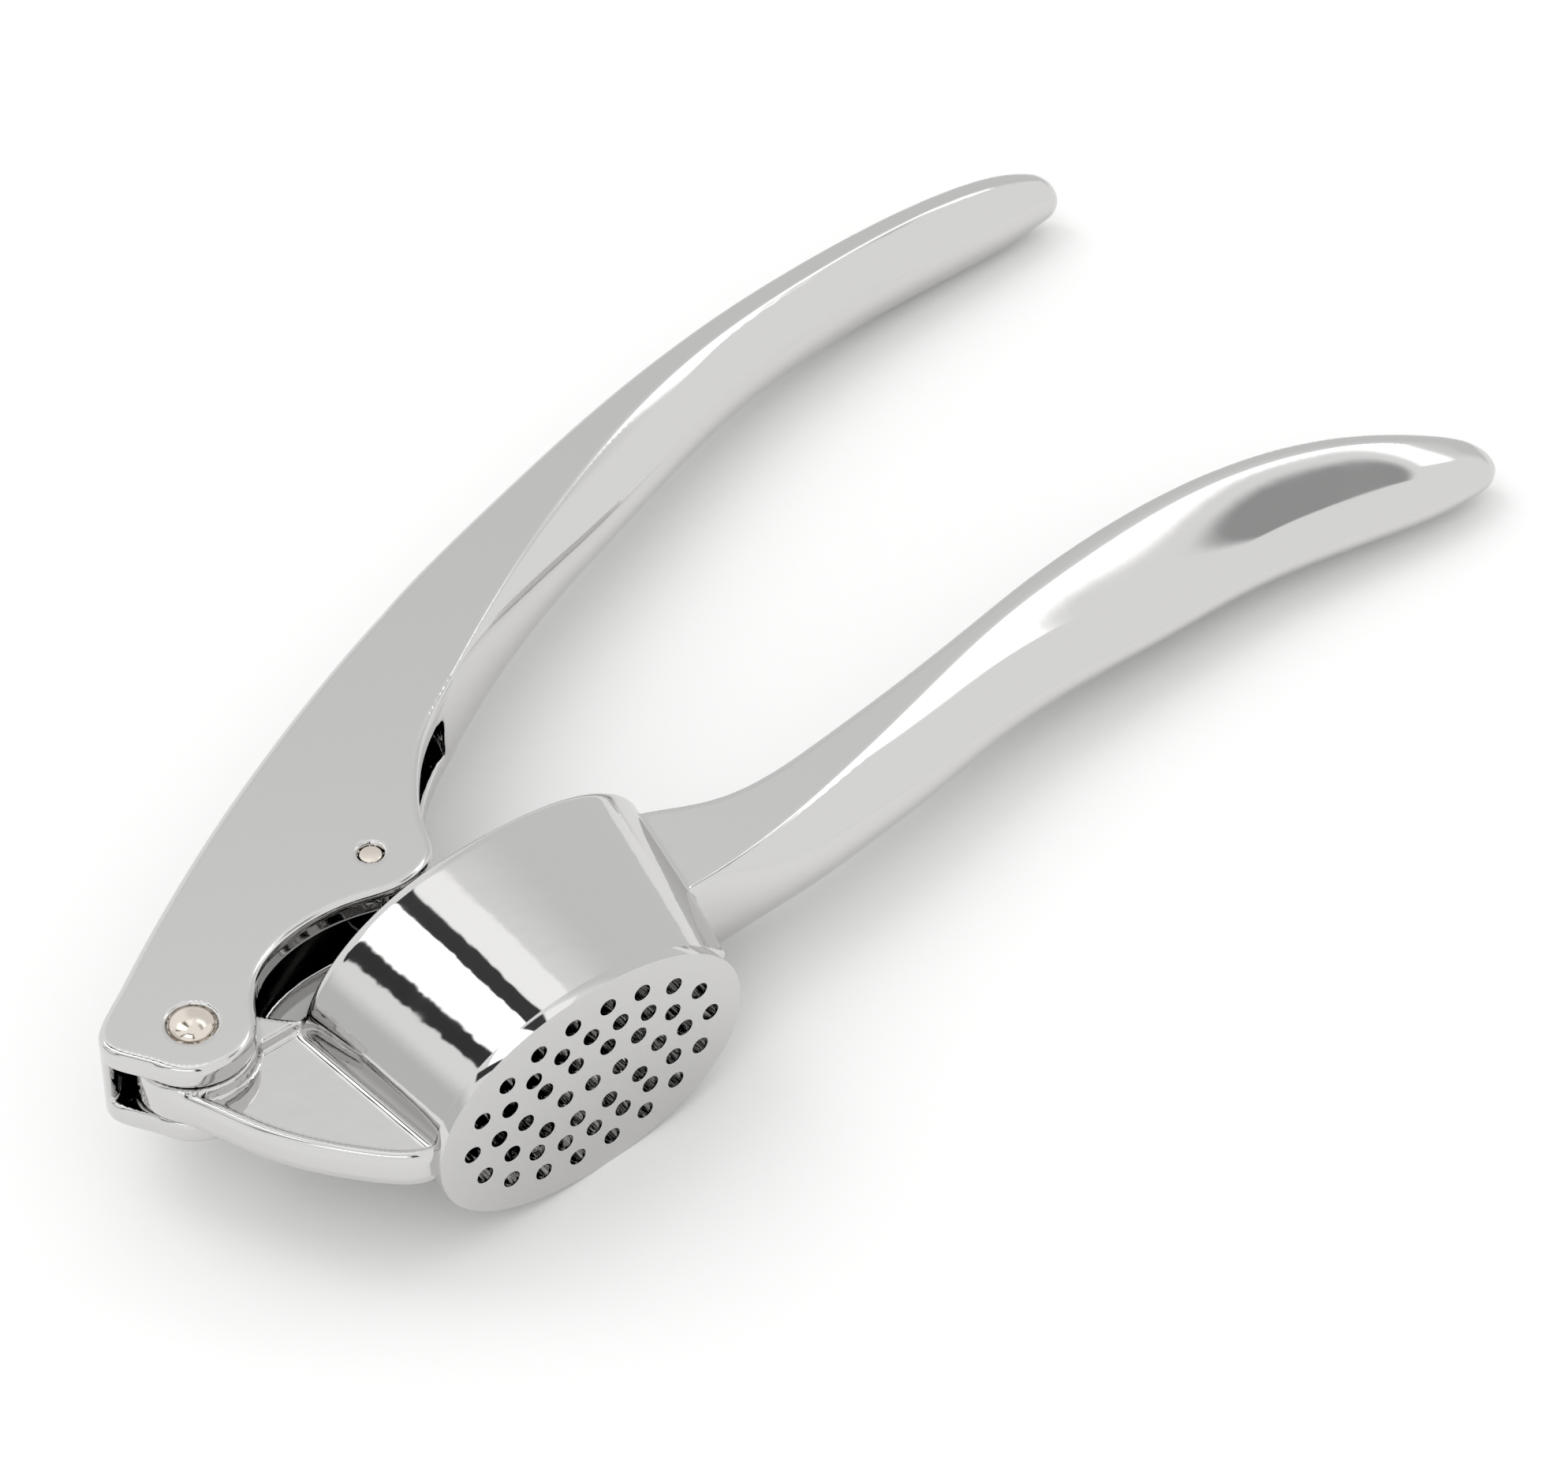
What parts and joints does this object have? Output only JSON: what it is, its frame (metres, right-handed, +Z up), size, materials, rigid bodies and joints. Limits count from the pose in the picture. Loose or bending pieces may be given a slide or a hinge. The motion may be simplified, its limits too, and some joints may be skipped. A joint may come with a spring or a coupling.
{
  "type": "garlic press",
  "caption": "Hand-held lever garlic press: perforated oval hopper on one lever, hinged plunger hung from the other, both cast and chrome plated.",
  "frame": {"origin": "middle of the underside of the bounding box, with the press lying on its side", "axes": "+X along the lower lever from the pivot towards the handle tips, +Y towards the upper lever so the sieve faces -Y, +Z up along the pivot axis"},
  "size_m": [0.185, 0.0854, 0.029],
  "materials": {
    "lower_chrome": "mirror-bright chrome plate on a zinc casting",
    "upper_chrome": "mirror-bright chrome plate on a zinc casting",
    "plunger_chrome": "bright chrome plate, slightly duller than the levers",
    "rivet_steel": "polished nickel-plated steel, slightly warm",
    "pin_steel": "plain steel pin end, satin"
  },
  "bodies": {
    "lower": {"lower_lever": "lower_chrome"},
    "upper": {"upper_lever": "upper_chrome", "main_rivet": "rivet_steel", "plunger_pin": "pin_steel"},
    "plunger": {"plunger": "plunger_chrome"}
  },
  "joints": [
    {"name": "lever_pivot", "type": "hinge", "parent": "lower", "child": "upper", "pos_m": [-0.08302, -0.01273, 0.0145], "axis": [0, 0, 1], "range_deg": [-19, 60]},
    {"name": "plunger_swing", "type": "hinge", "parent": "upper", "child": "plunger", "pos_m": [-0.05282, -0.00443, 0.0145], "axis": [0, 0, 1], "range_deg": [-34, 11]}
  ],
  "couplings": [
    {"joint": "plunger_swing", "follows": "lever_pivot", "ratio": -0.56}
  ]
}
